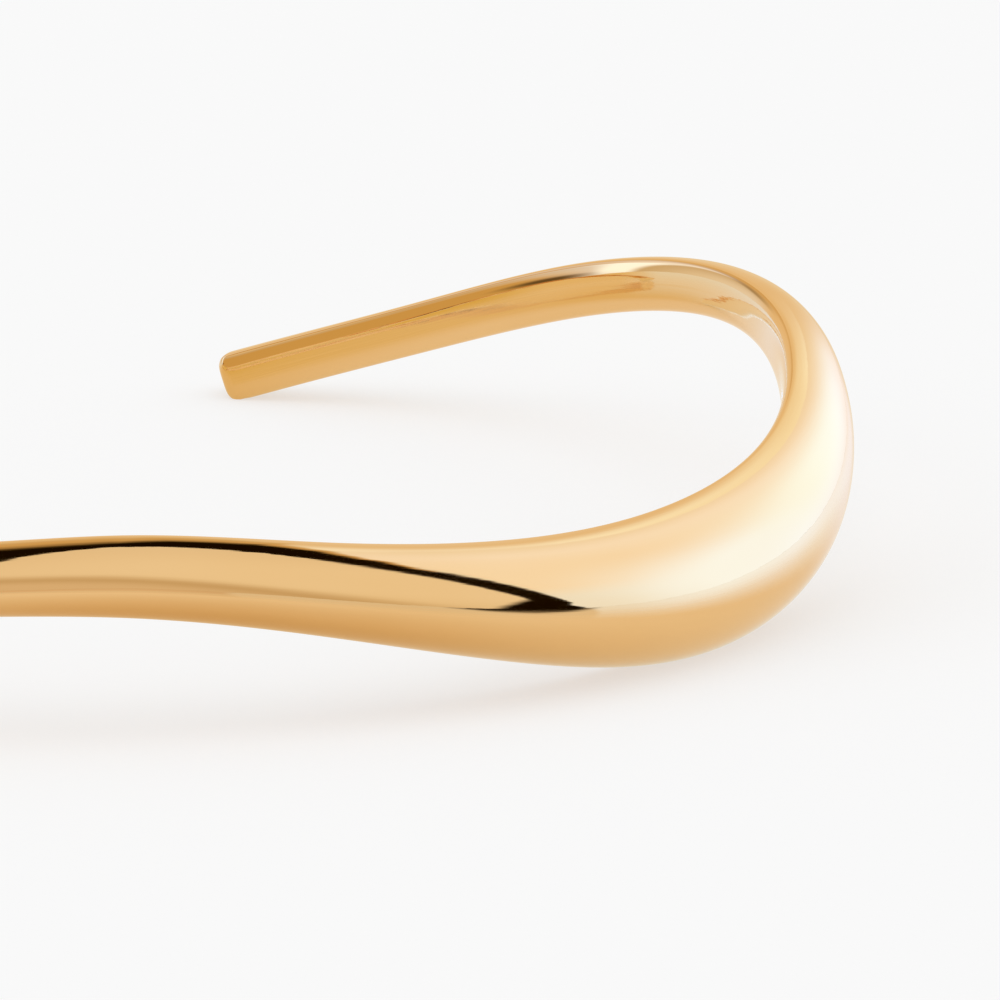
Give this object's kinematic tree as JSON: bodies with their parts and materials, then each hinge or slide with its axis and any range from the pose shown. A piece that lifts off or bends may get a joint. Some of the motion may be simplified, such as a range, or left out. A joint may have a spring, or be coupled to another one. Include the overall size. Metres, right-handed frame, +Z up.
{
  "type": "open cuff bangle",
  "caption": "Open wave cuff bangle in polished gold-coloured metal: a domed bar that swells at the front corners, rises at the sides and thins to blunt ends with a gap between.",
  "frame": {"origin": "middle of the footprint, on the surface that the bangle lies on", "axes": "+Z up as the bangle lies on its side; the middle of its front is towards -Y, the gap between its ends towards +Y, and its width runs along X"},
  "size_m": [0.0628, 0.0562, 0.0077],
  "materials": {
    "gold": "mirror-polished yellow gold plating"
  },
  "bodies": {
    "root": {"cuff": "gold"}
  },
  "joints": []
}
